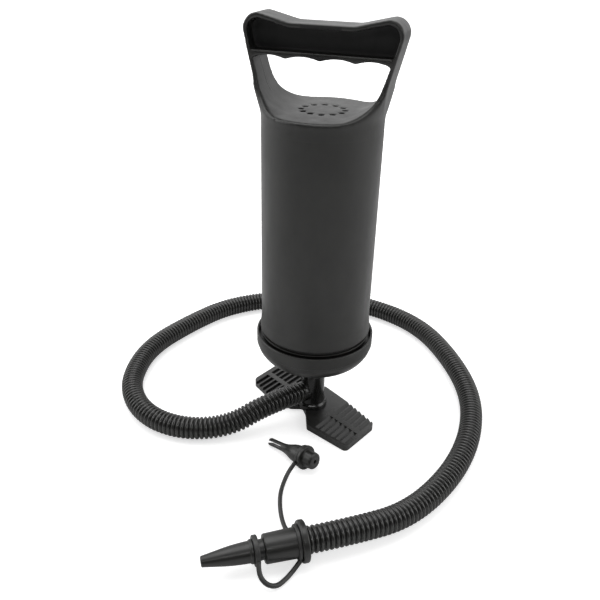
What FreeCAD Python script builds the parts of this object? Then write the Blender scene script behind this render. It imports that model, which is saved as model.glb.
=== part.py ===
import FreeCAD, Part
import math
import os
from FreeCAD import Vector

os.makedirs("parts", exist_ok=True)

# A double action hand pump in millimetres. The pump stands at the bottom of its stroke. Z is up, the
# floor is z = 0 under the stem, the handle runs along X and the bare front of the barrel faces -Y.

# Barrel and the saddle on top of it
barrel_r = 40.0
barrel_wall = 2.5
saddle_z = 239.0
top_plate = 4.0
slide_gap = 0.3
rubber_gap = 0.2

# Bottom cap, stem and stroke
cap_bottom_z = 50.0
cap_rim_z = 75.0
thread_rise = 1.9
cap_wall = 1.6
stem_r = 7.9
stem_bore_r = 5.6
hub_top_z = 36.0

# Foot plate
plate_thick = 5.0
plate_angle = -22.4
rib_pitch = 5.0
rib_slots = 6

# Hose and what it ends in
hose_r = 8.5
hose_root_r = 7.5
hose_bore_r = 6.6
hose_rib_count = 110
port_angle = 230.5
port_z = 19.0
port_reach = 12.0
flange_r = 12.9
socket_place = Vector(39.0, -142.9, flange_r)
socket_angle = 213.5
adaptor_place = Vector(14.6, -67.5, 8.95)
adaptor_angle = 156.0
adaptor_dip = 11.2
strap_r = 1.5

# Worked-out sizes
bore_r = barrel_r - barrel_wall
ceiling_z = saddle_z - top_plate
thread_r = barrel_r + thread_rise
cap_inner_r = thread_r + slide_gap
cap_r = cap_inner_r + cap_wall
plane_maps = {
    "XY": lambda a, b: Vector(a, b, 0),
    "XZ": lambda a, b: Vector(a, 0, b),
    "YZ": lambda a, b: Vector(0, a, b),
}
plane_normals = {"XY": Vector(0, 0, 1), "XZ": Vector(0, 1, 0), "YZ": Vector(1, 0, 0)}
up = Vector(0, 0, 1)


def rounded_wire(corners, place):
    """Closed wire through corners (a, b, radius), each corner rounded by a tangent arc."""
    points = [place(a, b) for a, b, radius in corners]
    count = len(points)
    edges = []
    joins = []
    for i in range(count):
        corner = points[i]
        back = (points[i - 1] - corner).normalize()
        ahead = (points[(i + 1) % count] - corner).normalize()
        radius = corners[i][2]
        half = back.getAngle(ahead) / 2.0
        if radius <= 0 or half > math.radians(89.5):
            joins.append((corner, corner))
            continue
        reach = radius / math.tan(half)
        middle = (back + ahead).normalize()
        centre = corner + middle * (radius / math.sin(half))
        start = corner + back * reach
        end = corner + ahead * reach
        joins.append((start, end))
        edges.append(Part.Arc(start, centre - middle * radius, end).toShape())
    for i in range(count):
        leave = joins[i][1]
        arrive = joins[(i + 1) % count][0]
        if leave.distanceToPoint(arrive) > 1e-4:
            edges.append(Part.makeLine(leave, arrive))
    return Part.Wire(Part.__sortEdges__(edges))


def prism(corners, plane, low, high):
    """Rounded outline in a plane, drawn out from low to high along the plane's normal."""
    face = Part.Face(rounded_wire(corners, plane_maps[plane]))
    face.translate(plane_normals[plane] * low)
    return face.extrude(plane_normals[plane] * (high - low))


def turned(corners):
    """Solid of revolution about Z from corners (radius, height, rounding)."""
    face = Part.Face(rounded_wire(corners, plane_maps["XZ"]))
    return face.revolve(Vector(0, 0, 0), up, 360)


def rod(radius, low, high):
    return Part.makeCylinder(radius, high - low, Vector(0, 0, low))


def ring(outer, inner, low, high):
    return rod(outer, low, high).cut(rod(inner, low - 1, high + 1))


def around(shape, count, start=0.0):
    """Copies of a shape turned evenly about Z."""
    copies = []
    for i in range(count):
        copy = shape.copy()
        copy.rotate(Vector(0, 0, 0), up, start + 360.0 * i / count)
        copies.append(copy)
    return copies


def mirrored_pairs(corners):
    """Adds the other half of an outline given from the middle line outwards and up."""
    other = [(-a, b, radius) for a, b, radius in reversed(corners)]
    return corners + other


def heading(angle, dip=0.0):
    flat = math.cos(math.radians(dip))
    return Vector(
        flat * math.cos(math.radians(angle)),
        flat * math.sin(math.radians(angle)),
        -math.sin(math.radians(dip)),
    )


def lay_along(shape, place, direction):
    """Moves a shape built along Z so that Z points along a direction from a place."""
    laid = shape.copy()
    laid.Placement = FreeCAD.Placement(place, FreeCAD.Rotation(up, direction))
    return laid


nodes = {}

# Barrel with handle: one moulding. The outline seen from the front, the outline seen from the side
# and a flaring turned form are intersected, so the arms rise out of the round barrel.
collar_z = saddle_z - 17.0
rim_top_z = saddle_z + 59.4
rim_dip_z = saddle_z + 51.6
arm_spread = 13.2
reach_out = barrel_r + 20.0
front_outline = mirrored_pairs([
    (barrel_r, collar_z, 0),
    (barrel_r + 0.4, saddle_z - 1.0, 30),
    (barrel_r + 3.0, saddle_z + 18.0, 40),
    (barrel_r + arm_spread, rim_top_z, 9),
    (barrel_r / 2, rim_dip_z, 14),
])
side_outline = mirrored_pairs([
    (barrel_r + 1.0, collar_z, 0),
    (barrel_r + 1.0, saddle_z + 0.2, 0),
    (13.8, saddle_z + 0.2, 23),
    (13.0, saddle_z + 36.0, 30),
    (11.3, rim_top_z + 1.6, 0),
])
flare = turned([
    (0, collar_z, 0),
    (barrel_r, collar_z, 0),
    (barrel_r, saddle_z - 2.0, 20),
    (barrel_r + 10.0, saddle_z + 32.0, 60),
    (barrel_r + 17.0, rim_top_z + 3.6, 0),
    (0, rim_top_z + 3.6, 0),
])
handle = prism(front_outline, "XZ", -reach_out, reach_out)
handle = handle.common(prism(side_outline, "YZ", -reach_out, reach_out))
handle = handle.common(flare)

# The finger gap: a flat-bottomed U below, four finger scallops above
cusp_z = saddle_z + 30.7
scallop_rise = 1.9
gap_top_half = barrel_r + 3.6
gap_floor_half = barrel_r - 5.8
scallop_pitch = (gap_top_half + 0.8) / 2
scallop_edges = []
for i in range(-2, 2):
    left = max(i * scallop_pitch, 0.6 - gap_top_half)
    right = min((i + 1) * scallop_pitch, gap_top_half - 0.6)
    start = Vector(left, 0, cusp_z)
    end = Vector(right, 0, cusp_z)
    crown = Vector((left + right) / 2, 0, cusp_z + scallop_rise)
    scallop_edges.append(Part.Arc(start, crown, end).toShape())
    scallop_edges.append(Part.makeLine(start, end))
gap_outline = mirrored_pairs([(gap_floor_half, saddle_z, 23.2), (gap_top_half, cusp_z, 0)])
finger_gap = prism(gap_outline, "XZ", -reach_out, reach_out)
for i in range(0, len(scallop_edges), 2):
    scallop = Part.Face(Part.Wire(scallop_edges[i:i + 2]))
    scallop.translate(Vector(0, -reach_out, 0))
    finger_gap = finger_gap.fuse(scallop.extrude(Vector(0, 2 * reach_out, 0)))

# Grip pockets, front and back, that leave a rim and a middle web
web_half = 2.0
rim_wall = 3.3
pocket_outline = mirrored_pairs([
    (barrel_r + 4.9, cusp_z + 3.8, 3),
    (barrel_r + arm_spread - rim_wall, rim_top_z - 4.0, 7),
    (barrel_r / 2 + 0.2, rim_dip_z - 2.8, 12),
])
pocket = prism(pocket_outline, "XZ", web_half, reach_out)
back_pocket = pocket.copy()
back_pocket.rotate(Vector(0, 0, 0), up, 180)

tube_low_z = 65.0
tube = rod(barrel_r, tube_low_z, collar_z + 8.0).fuse(rod(thread_r, tube_low_z, tube_low_z + 5.0))
chamber = rod(bore_r, tube_low_z - 1, ceiling_z)
barrel = tube.fuse(handle).cut(finger_gap).cut(pocket).cut(back_pocket).cut(chamber)

vent_r = 1.75
vent_circle_r = 14.2
vent = Part.makeCylinder(vent_r, top_plate + 2, Vector(vent_circle_r, 0, ceiling_z - 1))
for hole in around(vent, 12, 11.5):
    barrel = barrel.cut(hole)

# Clip posts under the barrel's ceiling hold the intake cage
cage_seat_r = 24.0
cage_low_z = ceiling_z - 5.0
barrel = barrel.fuse(ring(cage_seat_r + 2.0, cage_seat_r, ceiling_z - 3.0, ceiling_z + 0.5))
nodes["barrel_with_handle"] = barrel.removeSplitter()

# Top intake valve: a rubber disc in a spoked cage
intake_disc_thick = 1.2
intake_lift = 1.5
cage_floor_z = ceiling_z - intake_disc_thick - intake_lift - slide_gap
cage = ring(cage_seat_r - 0.1, 19.0, cage_low_z, ceiling_z)
cage = cage.fuse(ring(cage_seat_r - 0.1, 8.0, cage_low_z, cage_floor_z))
slot = Part.makeBox(7.0, 4.5, 10, Vector(10.5, -2.25, cage_low_z - 2))
for opening in around(slot, 8):
    cage = cage.cut(opening)
nodes["top_intake_cage"] = cage
nodes["top_intake_disc"] = rod(18.4, cage_floor_z, cage_floor_z + intake_disc_thick)

# Piston on the stem's upper end, just under the cage when the pump is down
piston_top_z = cage_low_z - slide_gap - 0.4
screw_head = 2.6
disc_thick = 4.0
chamber_tall = 8.0
upper_low_z = piston_top_z - screw_head - disc_thick
lower_top_z = upper_low_z - chamber_tall
lower_low_z = lower_top_z - disc_thick
piston_r = bore_r - 0.9
port_circle_r = 16.5
spacer_r = bore_r - 5.5
spacer_inner_r = spacer_r - 6.0
ledge_r = spacer_inner_r - 3.6
port_hole = Part.makeCylinder(2.6, 60, Vector(port_circle_r, 0, lower_low_z - 10))

lower_disc = rod(piston_r, lower_low_z, lower_top_z).fuse(rod(12.0, lower_low_z - 6.0, lower_low_z))
lower_disc = lower_disc.cut(rod(stem_r, lower_low_z - 7, lower_top_z + 1))
upper_disc = ring(piston_r, stem_bore_r, upper_low_z, upper_low_z + disc_thick)
for opening in around(port_hole, 8):
    lower_disc = lower_disc.cut(opening)
    upper_disc = upper_disc.cut(opening)
nodes["piston_lower_disc"] = lower_disc
nodes["piston_upper_disc"] = upper_disc

# Check discs: the lower one lifts off its ports, the upper one drops from its own
check_thick = 1.2
check_lift = 1.2
check_inner_r = stem_r + 1.6
upper_check_z = upper_low_z - check_thick - check_lift - 0.1
nodes["lower_check_disc"] = ring(ledge_r + 1.2, check_inner_r, lower_top_z, lower_top_z + check_thick)
upper_check_r = spacer_inner_r - 0.5
nodes["upper_check_disc"] = ring(upper_check_r, check_inner_r, upper_check_z, upper_check_z + check_thick)

# The spacer between the discs carries the seal ring outside and a ledge that stops both check discs
ledge_low_z = lower_top_z + check_thick + check_lift + 0.1
spacer = ring(spacer_r, spacer_inner_r, lower_top_z, upper_low_z)
spacer = spacer.fuse(ring(spacer_inner_r, ledge_r, ledge_low_z, upper_check_z))
nodes["piston_spacer"] = spacer
seal_inner_r = spacer_r + rubber_gap
nodes["piston_seal_ring"] = turned([
    (seal_inner_r, lower_top_z + 0.1, 0),
    (bore_r - rubber_gap, lower_top_z + 0.1, 1.2),
    (bore_r - rubber_gap - 0.6, lower_top_z + chamber_tall / 2, 1.5),
    (bore_r - rubber_gap, upper_low_z - 0.1, 1.2),
    (seal_inner_r, upper_low_z - 0.1, 0),
])

# Hollow stem with windows into the piston, closed on top by a wide-headed screw
stem_low_z = 10.0
stem = ring(stem_r, stem_bore_r, stem_low_z, upper_low_z)
window = Part.makeBox(stem_r + 2, 3.6, 3.0, Vector(0, -1.8, lower_top_z + 1.6))
for opening in around(window, 4):
    stem = stem.cut(opening)
nodes["stem_tube"] = stem
screw = rod(10.0, piston_top_z - screw_head, piston_top_z)
screw = screw.fuse(rod(stem_bore_r, upper_low_z - 2.0, piston_top_z - screw_head))
cross_slot = Part.makeBox(9.0, 1.4, 1.6, Vector(-4.5, -0.7, piston_top_z - 1.6))
for opening in around(cross_slot, 2):
    screw = screw.cut(opening)
nodes["piston_screw"] = screw

# Bottom cap: a rounded bowl whose rim stands clear of the barrel, screwed to its foot
cap_seat_z = tube_low_z - 1.4
cap_floor_z = cap_bottom_z + 6.6
bush_r = 12.5
bush_flange_r = 15.5
cap_disc_r = bore_r - 11.0
cap_disc_inner_r = bush_flange_r + 0.5
intake_circle_r = (cap_disc_r + cap_disc_inner_r) / 2
cap_outer = turned([
    (0, cap_bottom_z, 0),
    (barrel_r / 2, cap_bottom_z, 12),
    (barrel_r - 3.5, cap_bottom_z + 4.2, 14),
    (cap_r - 0.3, cap_bottom_z + 13.5, 9),
    (cap_r, cap_rim_z, 0.8),
    (0, cap_rim_z, 0),
])
cap_inner = turned([
    (0, cap_floor_z, 0),
    (bore_r - 6.0, cap_floor_z, 1),
    (bore_r - 1.0, cap_seat_z, 0),
    (cap_inner_r, cap_seat_z, 0),
    (cap_inner_r, cap_rim_z + 1, 0),
    (0, cap_rim_z + 1, 0),
])
cap = cap_outer.cut(cap_inner)
cap = cap.cut(rod(bush_r, cap_bottom_z - 1, cap_floor_z + 1))
cap = cap.cut(ring(bush_r + 5.3, bush_r + 2.0, cap_bottom_z - 1, cap_bottom_z + 3.5))
cap_hole = Part.makeCylinder(1.7, 12, Vector(intake_circle_r, 0, cap_bottom_z - 2))
for opening in around(cap_hole, 10):
    cap = cap.cut(opening)
nodes["bottom_cap"] = cap.removeSplitter()
nodes["cap_seal_ring"] = ring(thread_r, bore_r + 0.4, cap_seat_z, tube_low_z)

# Cap intake valve: a rubber ring that lifts off the cap's floor under a retaining ring
nodes["cap_intake_disc"] = ring(cap_disc_r, cap_disc_inner_r, cap_floor_z, cap_floor_z + intake_disc_thick)
keeper_z = cap_floor_z + intake_disc_thick + intake_lift + slide_gap
keeper_inner_r = cap_disc_r + 0.5
keeper_r = keeper_inner_r + 3.0
keeper = ring(keeper_r, keeper_inner_r, cap_floor_z, keeper_z)
keeper = keeper.fuse(ring(keeper_r, cap_disc_r - 3.0, keeper_z, keeper_z + 1.6))
notch = Part.makeBox(5, 5, 6, Vector(cap_disc_r - 4.5, -2.5, keeper_z - 1))
for opening in around(notch, 6, 18):
    keeper = keeper.cut(opening)
nodes["cap_intake_keeper"] = keeper

# Guide bush and the lip seal that hugs the stem
bush_top_z = cap_floor_z + 5.0
bush = rod(bush_r, cap_bottom_z, cap_floor_z).fuse(rod(bush_flange_r, cap_floor_z, bush_top_z))
bush = bush.cut(rod(stem_r + slide_gap, cap_bottom_z - 1, bush_top_z + 1))
bush = bush.cut(rod(11.0, bush_top_z - 3.0, bush_top_z + 1))
nodes["guide_bush"] = bush
nodes["stem_lip_seal"] = turned([
    (stem_r + rubber_gap, bush_top_z - 1.6, 0.3),
    (stem_r + 1.2, bush_top_z - 3.0, 0),
    (11.0, bush_top_z - 3.0, 0),
    (11.0, bush_top_z, 0),
    (stem_r + 1.2, bush_top_z, 0),
])
piston_low_z = lower_low_z - 6.0
stroke = piston_low_z - bush_top_z - 0.5
print("stroke", round(stroke, 2))

# Foot plate: two offset wings, hub and hose port in one moulding
wing = [
    (4.0, -13.0, 1.0),
    (19.5, -29.0, 2.0),
    (55.5, -29.0, 5.0),
    (55.5, 10.0, 5.0),
    (24.0, 18.0, 0),
    (4.0, 21.0, 2.0),
]
plate_outline = wing + [(-a, -b, radius) for a, b, radius in wing]
plate = prism(plate_outline, "XY", 0, plate_thick)
slot_wide = 2.6
slot_deep = 2.2
slots = []
for i in range(rib_slots):
    s = 23.5 + i * rib_pitch
    spine_low = -4.6 - 0.12 * (s - 23.5)
    slot_z = plate_thick - slot_deep
    slots.append(Part.makeBox(slot_wide, 40, slot_deep + 1, Vector(s, spine_low + 4.4, slot_z)))
    slots.append(Part.makeBox(slot_wide, spine_low + 25.5, slot_deep + 1, Vector(s, -25.5, slot_z)))
for opening in slots:
    plate = plate.cut(opening)
    other = opening.copy()
    other.rotate(Vector(0, 0, 0), up, 180)
    plate = plate.cut(other)
plate.rotate(Vector(0, 0, 0), up, plate_angle)
hub = turned([
    (0, plate_thick - 1, 0),
    (stem_r + 5.3, plate_thick - 1, 0),
    (stem_r + 5.3, plate_thick + 1.2, 0.6),
    (stem_r + 2.9, plate_thick + 4.0, 3),
    (stem_r + 1.4, hub_top_z, 0.8),
    (0, hub_top_z, 0),
])
port_heading = heading(port_angle)
port_bore_r = hose_bore_r - 2.0
port_body = lay_along(rod(hose_root_r + 0.1, 0, port_reach - 0.5), Vector(0, 0, port_z), port_heading)
spigot = lay_along(rod(hose_bore_r - 0.1, 0, port_reach + 15), Vector(0, 0, port_z), port_heading)
gusset = Part.makeBox(port_reach - 1.0, 6.0, port_z - plate_thick, Vector(0, -3.0, plate_thick - 0.5))
gusset.rotate(Vector(0, 0, 0), up, port_angle)
foot = plate.fuse([hub, port_body, spigot, gusset])
foot = foot.cut(rod(stem_r, stem_low_z, hub_top_z + 1))
foot = foot.cut(lay_along(rod(port_bore_r, stem_r - 2, port_reach + 20), Vector(0, 0, port_z), port_heading))
nodes["foot_plate"] = foot.removeSplitter()
stem_port = lay_along(rod(port_bore_r, 0, stem_r + 2), Vector(0, 0, port_z), port_heading)
nodes["stem_tube"] = nodes["stem_tube"].cut(stem_port)

# Hose route: corners of the run along the floor, chosen by hand
socket_heading = heading(socket_angle)
hose_start = Vector(0, 0, port_z) + port_heading * port_reach
hose_end = socket_place - socket_heading * 2.0
hose_route = [
    hose_start,
    hose_start + port_heading * 31.0,
    Vector(-47.5, -54, 9.5),
    Vector(-74.5, -68.5, 8.8),
    Vector(-105, -68, 8.8),
    Vector(-131.5, -53, 8.8),
    Vector(-151, -25.5, 8.8),
    Vector(-159.5, 21, 8.8),
    Vector(-144.5, 70.5, 8.8),
    Vector(-123, 115, 8.8),
    Vector(-80, 148, 8.8),
    Vector(-30, 166, 8.8),
    Vector(22, 162, 8.8),
    Vector(66, 140, 8.8),
    Vector(98, 98, 8.8),
    Vector(121, 50, 8.8),
    Vector(127, 1, 8.8),
    Vector(119, -49, 8.8),
    Vector(97, -96, 8.8),
    hose_end - socket_heading * 30.0,
    hose_end,
]


def route_edges(name, corners):
    """Straight runs joined by tangent arcs, each as large as its two runs allow."""
    runs = [corners[i].distanceToPoint(corners[i + 1]) for i in range(len(corners) - 1)]
    edges = []
    radii = []
    leave = corners[0]
    for i in range(1, len(corners) - 1):
        back = (corners[i - 1] - corners[i]).normalize()
        ahead = (corners[i + 1] - corners[i]).normalize()
        half = back.getAngle(ahead) / 2.0
        reach = 0.45 * min(runs[i - 1], runs[i])
        radius = reach * math.tan(half)
        middle = (back + ahead).normalize()
        centre = corners[i] + middle * (reach / math.cos(half))
        start = corners[i] + back * reach
        end = corners[i] + ahead * reach
        edges.append(Part.makeLine(leave, start))
        edges.append(Part.Arc(start, centre - middle * radius, end).toShape())
        radii.append(round(radius, 1))
        leave = end
    edges.append(Part.makeLine(leave, corners[-1]))
    length = sum(edge.Length for edge in edges)
    print(name, "length", round(length, 1), "radii", radii)
    return edges, length


def tube_on(edges, radius):
    first = edges[0]
    direction = first.tangentAt(first.FirstParameter)
    start = first.valueAt(first.FirstParameter)
    circle = Part.Wire(Part.makeCircle(radius, start, direction))
    return Part.Wire(edges).makePipeShell([circle], True, False)


def point_on(edges, distance):
    """Point and heading at a distance along the edges."""
    left = distance
    for edge in edges:
        if left <= edge.Length + 1e-6 or edge is edges[-1]:
            parameter = edge.getParameterByLength(min(left, edge.Length))
            return edge.valueAt(parameter), edge.tangentAt(parameter)
        left -= edge.Length


def hose_circle(edges, distance, radius):
    """Circle square to the route whose X axis stays level."""
    centre, along = point_on(edges, distance)
    level = along.cross(up).normalize()
    circle = Part.Circle(centre, along, radius)
    circle.XAxis = level
    return Part.Wire(circle.toShape())


hose_edges, hose_length = route_edges("hose", hose_route)
cuff = 4.0
pitch = (hose_length - 2 * cuff) / hose_rib_count
sections = [hose_circle(hose_edges, 0.0, hose_root_r)]
for i in range(hose_rib_count):
    start = cuff + i * pitch
    sections.append(hose_circle(hose_edges, start + 0.20 * pitch, hose_root_r))
    sections.append(hose_circle(hose_edges, start + 0.36 * pitch, hose_r))
    sections.append(hose_circle(hose_edges, start + 0.64 * pitch, hose_r))
    sections.append(hose_circle(hose_edges, start + 0.80 * pitch, hose_root_r))
sections.append(hose_circle(hose_edges, hose_length, hose_root_r))
hose_outer = Part.makeLoft(sections, True, True)
hose_bore = tube_on(hose_edges, hose_bore_r)
hose = hose_outer.cut(hose_bore)
band = math.pi * (hose_r ** 2 - hose_root_r ** 2) * 0.44 * pitch * hose_rib_count
tube_volume = math.pi * (hose_root_r ** 2 - hose_bore_r ** 2) * hose_length + band
print("hose volume", round(hose.Volume), "section times length", round(tube_volume))
nodes["hose"] = hose

# Socket at the hose's end: barb in the hose, flange and sleeve
sleeve_end = 25.0
plug_r = 6.2
sleeve_r = plug_r + 3.2
socket_bore_r = hose_bore_r - 2.4
socket = turned([
    (socket_bore_r, -18.0, 0),
    (hose_bore_r - 0.1, -17.0, 0),
    (hose_bore_r - 0.1, -2.0, 0),
    (flange_r, -2.0, 0),
    (flange_r, 2.0, 0),
    (sleeve_r, 2.0, 0),
    (sleeve_r - 0.5, sleeve_end - 0.8, 0),
    (sleeve_r - 1.2, sleeve_end, 0),
    (plug_r + 0.2, sleeve_end, 0),
    (plug_r + 0.2, 6.0, 0),
    (socket_bore_r, 6.0, 0),
])
nodes["hose_socket"] = lay_along(socket, socket_place, socket_heading)

# Nozzle: plug, neck, stop collar and long cone
nozzle_tip = 65.0
seal_groove = 0.9
nozzle = turned([
    (plug_r - 2.6, 7.0, 0),
    (plug_r, 7.0, 0),
    (plug_r, 18.0, 0),
    (plug_r - seal_groove, 18.0, 0),
    (plug_r - seal_groove, 20.2, 0),
    (plug_r, 20.2, 0),
    (plug_r, 31.6, 0),
    (plug_r + 1.2, 31.6, 0),
    (plug_r + 1.0, 33.2, 0),
    (plug_r + 0.3, 33.6, 0),
    (3.0, nozzle_tip, 0),
    (1.9, nozzle_tip, 0),
])
nodes["nozzle"] = lay_along(nozzle, socket_place, socket_heading)
nozzle_seal = ring(plug_r + 0.15, plug_r - seal_groove, 18.1, 20.1)
nodes["nozzle_seal_ring"] = lay_along(nozzle_seal, socket_place, socket_heading)

# Tether: a ring round the nozzle's neck, one round the sleeve, one round the adaptor
neck_ring = ring(plug_r + 3.1, plug_r + 0.1, 28.2, 31.4)
sleeve_ring = ring(sleeve_r + 2.0, sleeve_r + 0.05, 2.1, 5.2)
nodes["tether_neck_ring"] = lay_along(neck_ring, socket_place, socket_heading)
nodes["tether_sleeve_ring"] = lay_along(sleeve_ring, socket_place, socket_heading)

# Second adaptor: push-in spigot, stop disc, cone and split tip
adaptor_heading = heading(adaptor_angle, adaptor_dip)
spigot_r = plug_r + 0.1
adaptor = turned([
    (2.0, -13.5, 0),
    (spigot_r - 0.3, -13.5, 0),
    (spigot_r, -1.2, 0),
    (spigot_r + 2.5, -1.2, 0),
    (spigot_r + 2.5, 1.2, 0),
    (spigot_r, 1.2, 0),
    (spigot_r - 0.3, 10.0, 3),
    (spigot_r / 2, 21.0, 3),
    (2.3, 34.0, 0),
    (1.0, 34.0, 0),
    (1.0, 16.0, 0),
    (2.0, 12.0, 0),
])
split = Part.makeBox(20, 1.6, 16, Vector(-10, -0.8, 22.0))
adaptor = adaptor.cut(split)
nodes["valve_adaptor"] = lay_along(adaptor, adaptor_place, adaptor_heading)
adaptor_ring = ring(spigot_r + 1.9, spigot_r + 0.1, 1.4, 4.0)
nodes["tether_adaptor_ring"] = lay_along(adaptor_ring, adaptor_place, adaptor_heading)

strap_routes = {
    "tether_strap_near": [
        Vector(19.0, -166.7, 12.9),
        Vector(21.6, -171.6, 9.4),
        Vector(26.5, -173.4, 5.6),
        Vector(32.0, -171.7, 2.7),
        Vector(36.4, -167.1, 1.9),
        Vector(37.9, -158.9, 2.1),
        Vector(39.6, -151.4, 5.2),
    ],
    "tether_strap_far": [
        Vector(29.9, -135.7, 12.9),
        Vector(25.3, -128.7, 9.0),
        Vector(18.6, -120.5, 2.6),
        Vector(13.2, -109.5, 1.8),
        Vector(8.6, -96.5, 1.8),
        Vector(5.8, -83.5, 3.6),
        Vector(8.7, -74.6, 8.4),
    ],
}
for name, corners in strap_routes.items():
    strap_edges, strap_length = route_edges(name, corners)
    strap = tube_on(strap_edges, strap_r)
    for ring_name in ("tether_neck_ring", "tether_sleeve_ring", "tether_adaptor_ring"):
        strap = strap.cut(nodes[ring_name])
    nodes[name] = strap

for name, shape in nodes.items():
    print(name, shape.isValid(), len(shape.Solids), round(shape.Volume), shape.BoundBox)
    shape.exportStep("parts/" + name + ".step")
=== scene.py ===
import math
import bmesh
import bpy
from mathutils import Matrix, Vector


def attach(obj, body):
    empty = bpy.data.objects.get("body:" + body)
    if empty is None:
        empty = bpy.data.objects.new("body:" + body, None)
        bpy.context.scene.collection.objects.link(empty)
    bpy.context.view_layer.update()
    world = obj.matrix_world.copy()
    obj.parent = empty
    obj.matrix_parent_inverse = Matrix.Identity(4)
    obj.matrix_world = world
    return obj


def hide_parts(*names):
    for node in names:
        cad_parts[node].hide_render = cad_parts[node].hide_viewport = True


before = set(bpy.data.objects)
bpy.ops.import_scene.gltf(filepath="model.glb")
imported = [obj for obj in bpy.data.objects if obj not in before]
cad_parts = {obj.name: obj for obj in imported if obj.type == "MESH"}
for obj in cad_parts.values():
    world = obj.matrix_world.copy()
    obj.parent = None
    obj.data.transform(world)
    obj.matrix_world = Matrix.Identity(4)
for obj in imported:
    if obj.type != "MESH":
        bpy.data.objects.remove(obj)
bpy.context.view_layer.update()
mm = 0.001


def linearColour(hexText):
    channels = []
    for i in (1, 3, 5):
        value = int(hexText[i:i + 2], 16) / 255
        channels.append(value / 12.92 if value <= 0.04045 else ((value + 0.055) / 1.055) ** 2.4)
    return (*channels, 1.0)


def addNode(tree, kind, inputs=None, **settings):
    # adds a node, sets its properties, then fills or links its inputs
    node = tree.nodes.new(kind)
    for name, value in settings.items():
        setattr(node, name, value)
    for name, value in (inputs or {}).items():
        if isinstance(value, bpy.types.NodeSocket):
            tree.links.new(value, node.inputs[name])
        else:
            node.inputs[name].default_value = value
    return node


def mouldedFinish(name, look):
    # a moulded skin: two close tones, rubbed patches and the grain the mould leaves
    material = bpy.data.materials.new(name)
    material.use_nodes = True
    tree = material.node_tree
    tree.nodes.clear()
    coords = addNode(tree, "ShaderNodeTexCoord")
    clouds = addNode(tree, "ShaderNodeTexNoise", {
        "Vector": coords.outputs["Object"], "Scale": 1 / (look["cloudMm"] * mm), "Detail": 4.0, "Roughness": 0.6})
    stretch = addNode(tree, "ShaderNodeMapping", {
        "Vector": coords.outputs["Object"], "Scale": look["rubStretch"]})
    rubs = addNode(tree, "ShaderNodeTexNoise", {
        "Vector": stretch.outputs["Vector"], "Scale": 1 / (look["rubMm"] * mm), "Detail": 6.0, "Roughness": 0.7})
    grain = addNode(tree, "ShaderNodeTexNoise", {
        "Vector": coords.outputs["Object"], "Scale": 1 / (look["grainMm"] * mm), "Detail": 2.0, "Roughness": 0.5})
    tone = addNode(tree, "ShaderNodeMix", {
        "Factor": clouds.outputs["Fac"], "A": linearColour(look["dark"]), "B": linearColour(look["light"])},
        data_type="RGBA")
    geometry = addNode(tree, "ShaderNodeNewGeometry")
    edges = addNode(tree, "ShaderNodeMapRange", {
        "Value": geometry.outputs["Pointiness"], "From Min": 0.53, "From Max": 0.62,
        "To Min": 0.0, "To Max": look["edgeWear"]})
    worn = addNode(tree, "ShaderNodeMix", {
        "Factor": edges.outputs["Result"], "A": tone.outputs[2], "B": linearColour(look["worn"])}, data_type="RGBA")
    gloss = addNode(tree, "ShaderNodeMapRange", {
        "Value": rubs.outputs["Fac"], "From Min": 0.3, "From Max": 0.7,
        "To Min": look["rough"] - look["roughSpread"], "To Max": look["rough"] + look["roughSpread"]})
    bump = addNode(tree, "ShaderNodeBump", {
        "Height": grain.outputs["Fac"], "Strength": 1.0, "Distance": look["grainDepthMm"] * mm})
    skin = addNode(tree, "ShaderNodeBsdfPrincipled", {
        "Base Color": worn.outputs[2], "Roughness": gloss.outputs["Result"], "Normal": bump.outputs["Normal"],
        "IOR": look["ior"]})
    addNode(tree, "ShaderNodeOutputMaterial", {"Surface": skin.outputs["BSDF"]})
    return material, tree, {"coords": coords, "tone": worn, "bump": bump, "skin": skin, "gloss": gloss}


# Moulded polypropylene with a spark-eroded grain: black, satin, a soft broken highlight
barrelLook = {
    "dark": "#131312", "light": "#242422", "worn": "#363634", "edgeWear": 0.5, "cloudMm": 20.0,
    "rubMm": 14.0, "rubStretch": (1.0, 1.0, 0.35), "rough": 0.40, "roughSpread": 0.07,
    "grainMm": 0.9, "grainDepthMm": 0.016, "ior": 1.49}  # the real grain is 0.3 mm, too fine to show
barrelMarks = {
    "lineMm": (0.15, 0.55), "lineFromMm": 248.0, "lineHighMm": 0.12, "lineTone": "#090909", "lineMix": 0.7,
    "webMm": (2.4, 3.2), "webFromMm": 272.5, "webFacing": 0.6, "ventsMm": 17.5, "throatFacing": 0.45,
    "paintedShadeTone": "#070707", "paintedShadeRough": 0.3}
barrelPlastic, tree, parts = mouldedFinish("sparkTexturedPolypropylene", barrelLook)
axes = addNode(tree, "ShaderNodeSeparateXYZ", {"Vector": parts["coords"].outputs["Object"]})
aside = addNode(tree, "ShaderNodeMath", {0: axes.outputs["Y"]}, operation="ABSOLUTE")
# the hairline where the mould's halves meet, on the handle alone
line = addNode(tree, "ShaderNodeMapRange", {
    "Value": aside.outputs[0], "From Min": barrelMarks["lineMm"][0] * mm, "From Max": barrelMarks["lineMm"][1] * mm,
    "To Min": 1.0, "To Max": 0.0})
high = addNode(tree, "ShaderNodeMath", {0: axes.outputs["Z"], 1: barrelMarks["lineFromMm"] * mm},
               operation="GREATER_THAN")
partingLine = addNode(tree, "ShaderNodeMath", {0: line.outputs["Result"], 1: high.outputs[0]}, operation="MULTIPLY")
ridge = addNode(tree, "ShaderNodeBump", {
    "Height": partingLine.outputs[0], "Strength": 1.0, "Distance": barrelMarks["lineHighMm"] * mm,
    "Normal": parts["bump"].outputs["Normal"]})
tree.links.new(ridge.outputs["Normal"], parts["skin"].inputs["Normal"])
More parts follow.
